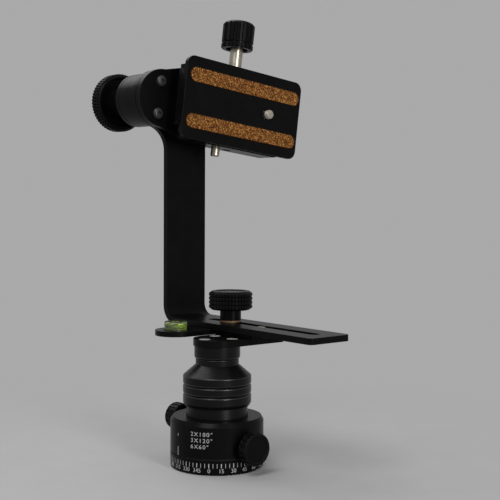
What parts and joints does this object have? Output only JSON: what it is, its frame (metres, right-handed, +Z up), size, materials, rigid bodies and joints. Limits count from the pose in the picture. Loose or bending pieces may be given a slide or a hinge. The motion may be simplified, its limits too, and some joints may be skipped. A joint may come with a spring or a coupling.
{
  "type": "gimbal head",
  "caption": "Side-mount gimbal head: indexed pan base, ringed post, sliding L-shaped arm and a tilting quick-release clamp with a cork-faced camera plate.",
  "frame": {"origin": "centre of the tripod socket's mouth in the base's lower face, on the pan axis", "axes": "+Z up along the pan axis, X along the arm's foot and the tilt axis, +Y the way the camera plate points"},
  "size_m": [0.2002, 0.1379, 0.2963],
  "materials": {
    "anodised": "satin black anodised",
    "steel": "turned and polished",
    "bronze": "turned",
    "brass": "turned",
    "nylon": "matt",
    "cork": "pressed cork granules",
    "acrylic": "clear",
    "fluid": "clear liquid"
  },
  "bodies": {
    "base": {"base_plate": "anodised", "base_screws": "steel", "pan_spindle": "steel", "index_ring": "bronze", "thrust_washer": "nylon", "spindle_washer": "steel", "spindle_nut": "steel"},
    "pan": {"pan_housing": "anodised", "pan_bush": "bronze", "index_sleeve": "steel", "index_spring": "steel", "riser_post": "anodised", "post_screws": "steel", "post_stud": "steel", "arm_collar": "anodised", "pan_bar": "anodised", "bar_screws": "steel", "level_plate": "anodised", "level_plate_screws": "steel", "level_vial": "acrylic", "level_fluid": "fluid", "slide_bolt": "steel", "slide_washer": "brass", "guide_pin": "steel"},
    "pan_lock": {"pan_lock_knob": "anodised", "pan_lock_screw": "steel", "pan_lock_tip": "nylon"},
    "index_plunger": {"index_knob": "anodised", "index_pin": "steel"},
    "slide_lock": {"slide_knob": "anodised"},
    "arm": {"l_arm": "anodised", "tilt_barrel": "anodised", "barrel_cap": "anodised", "barrel_screws": "steel", "tilt_bush_inner": "bronze", "tilt_bush_outer": "bronze", "tilt_washer": "nylon", "knob_washer": "steel"},
    "tilt": {"tilt_hub": "steel", "tilt_stud": "steel", "tilt_bracket": "anodised", "hub_screws": "steel", "clamp_body": "anodised", "clamp_body_screws": "steel", "guide_rod_long": "steel", "guide_rod_short": "steel"},
    "tilt_lock": {"tilt_lock_knob": "anodised"},
    "clamp_knob": {"clamp_knob": "anodised", "clamp_screw": "steel"},
    "clamp_jaw": {"clamp_jaw": "anodised"},
    "camera_plate": {"camera_plate": "anodised", "cork_upper": "cork", "cork_lower": "cork"},
    "camera_screw": {"camera_screw": "steel"}
  },
  "joints": [
    {"name": "pan_turn", "type": "hinge", "parent": "base", "child": "pan", "pos_m": [0, 0, 0.0102], "axis": [0, 0, 1], "continuous": true},
    {"name": "pan_lock_turn", "type": "hinge", "parent": "pan", "child": "pan_lock", "pos_m": [-0.036, 0, 0.0248], "axis": [1, 0, 0], "range_deg": [0, 180]},
    {"name": "index_pull", "type": "slide", "parent": "pan", "child": "index_plunger", "axis": [1, 0, 0], "range_m": [-0.003, 0]},
    {"name": "slide_lock_turn", "type": "hinge", "parent": "pan", "child": "slide_lock", "pos_m": [-0.0155, 0.0233, 0.1], "axis": [0, 0, 1], "range_deg": [0, 360]},
    {"name": "arm_slide", "type": "slide", "parent": "pan", "child": "arm", "axis": [1, 0, 0], "range_m": [-0.05, 0.0185]},
    {"name": "tilt_turn", "type": "hinge", "parent": "arm", "child": "tilt", "pos_m": [-0.06, 0, 0.239], "axis": [1, 0, 0], "continuous": true},
    {"name": "tilt_lock_turn", "type": "hinge", "parent": "tilt", "child": "tilt_lock", "pos_m": [-0.11, 0, 0.239], "axis": [1, 0, 0], "range_deg": [-360, 0]},
    {"name": "clamp_knob_turn", "type": "hinge", "parent": "tilt", "child": "clamp_knob", "pos_m": [-0.05385, 0.05862, 0.27615], "axis": [0, 0.1253, 0.9921], "range_deg": [0, 1440]},
    {"name": "jaw_slide", "type": "slide", "parent": "tilt", "child": "clamp_jaw", "axis": [0, 0.1253, 0.9921], "range_m": [-0.004, 0]},
    {"name": "plate_slide", "type": "slide", "parent": "tilt", "child": "camera_plate", "axis": [0, 0.9921, -0.1253], "range_m": [-0.03, 0.03]},
    {"name": "camera_screw_turn", "type": "hinge", "parent": "camera_plate", "child": "camera_screw", "pos_m": [-0.0434, 0.07535, 0.23069], "axis": [1, 0, 0], "continuous": true}
  ],
  "couplings": [
    {"joint": "clamp_knob_turn", "follows": "jaw_slide", "rad_per_m": -6283.2}
  ]
}
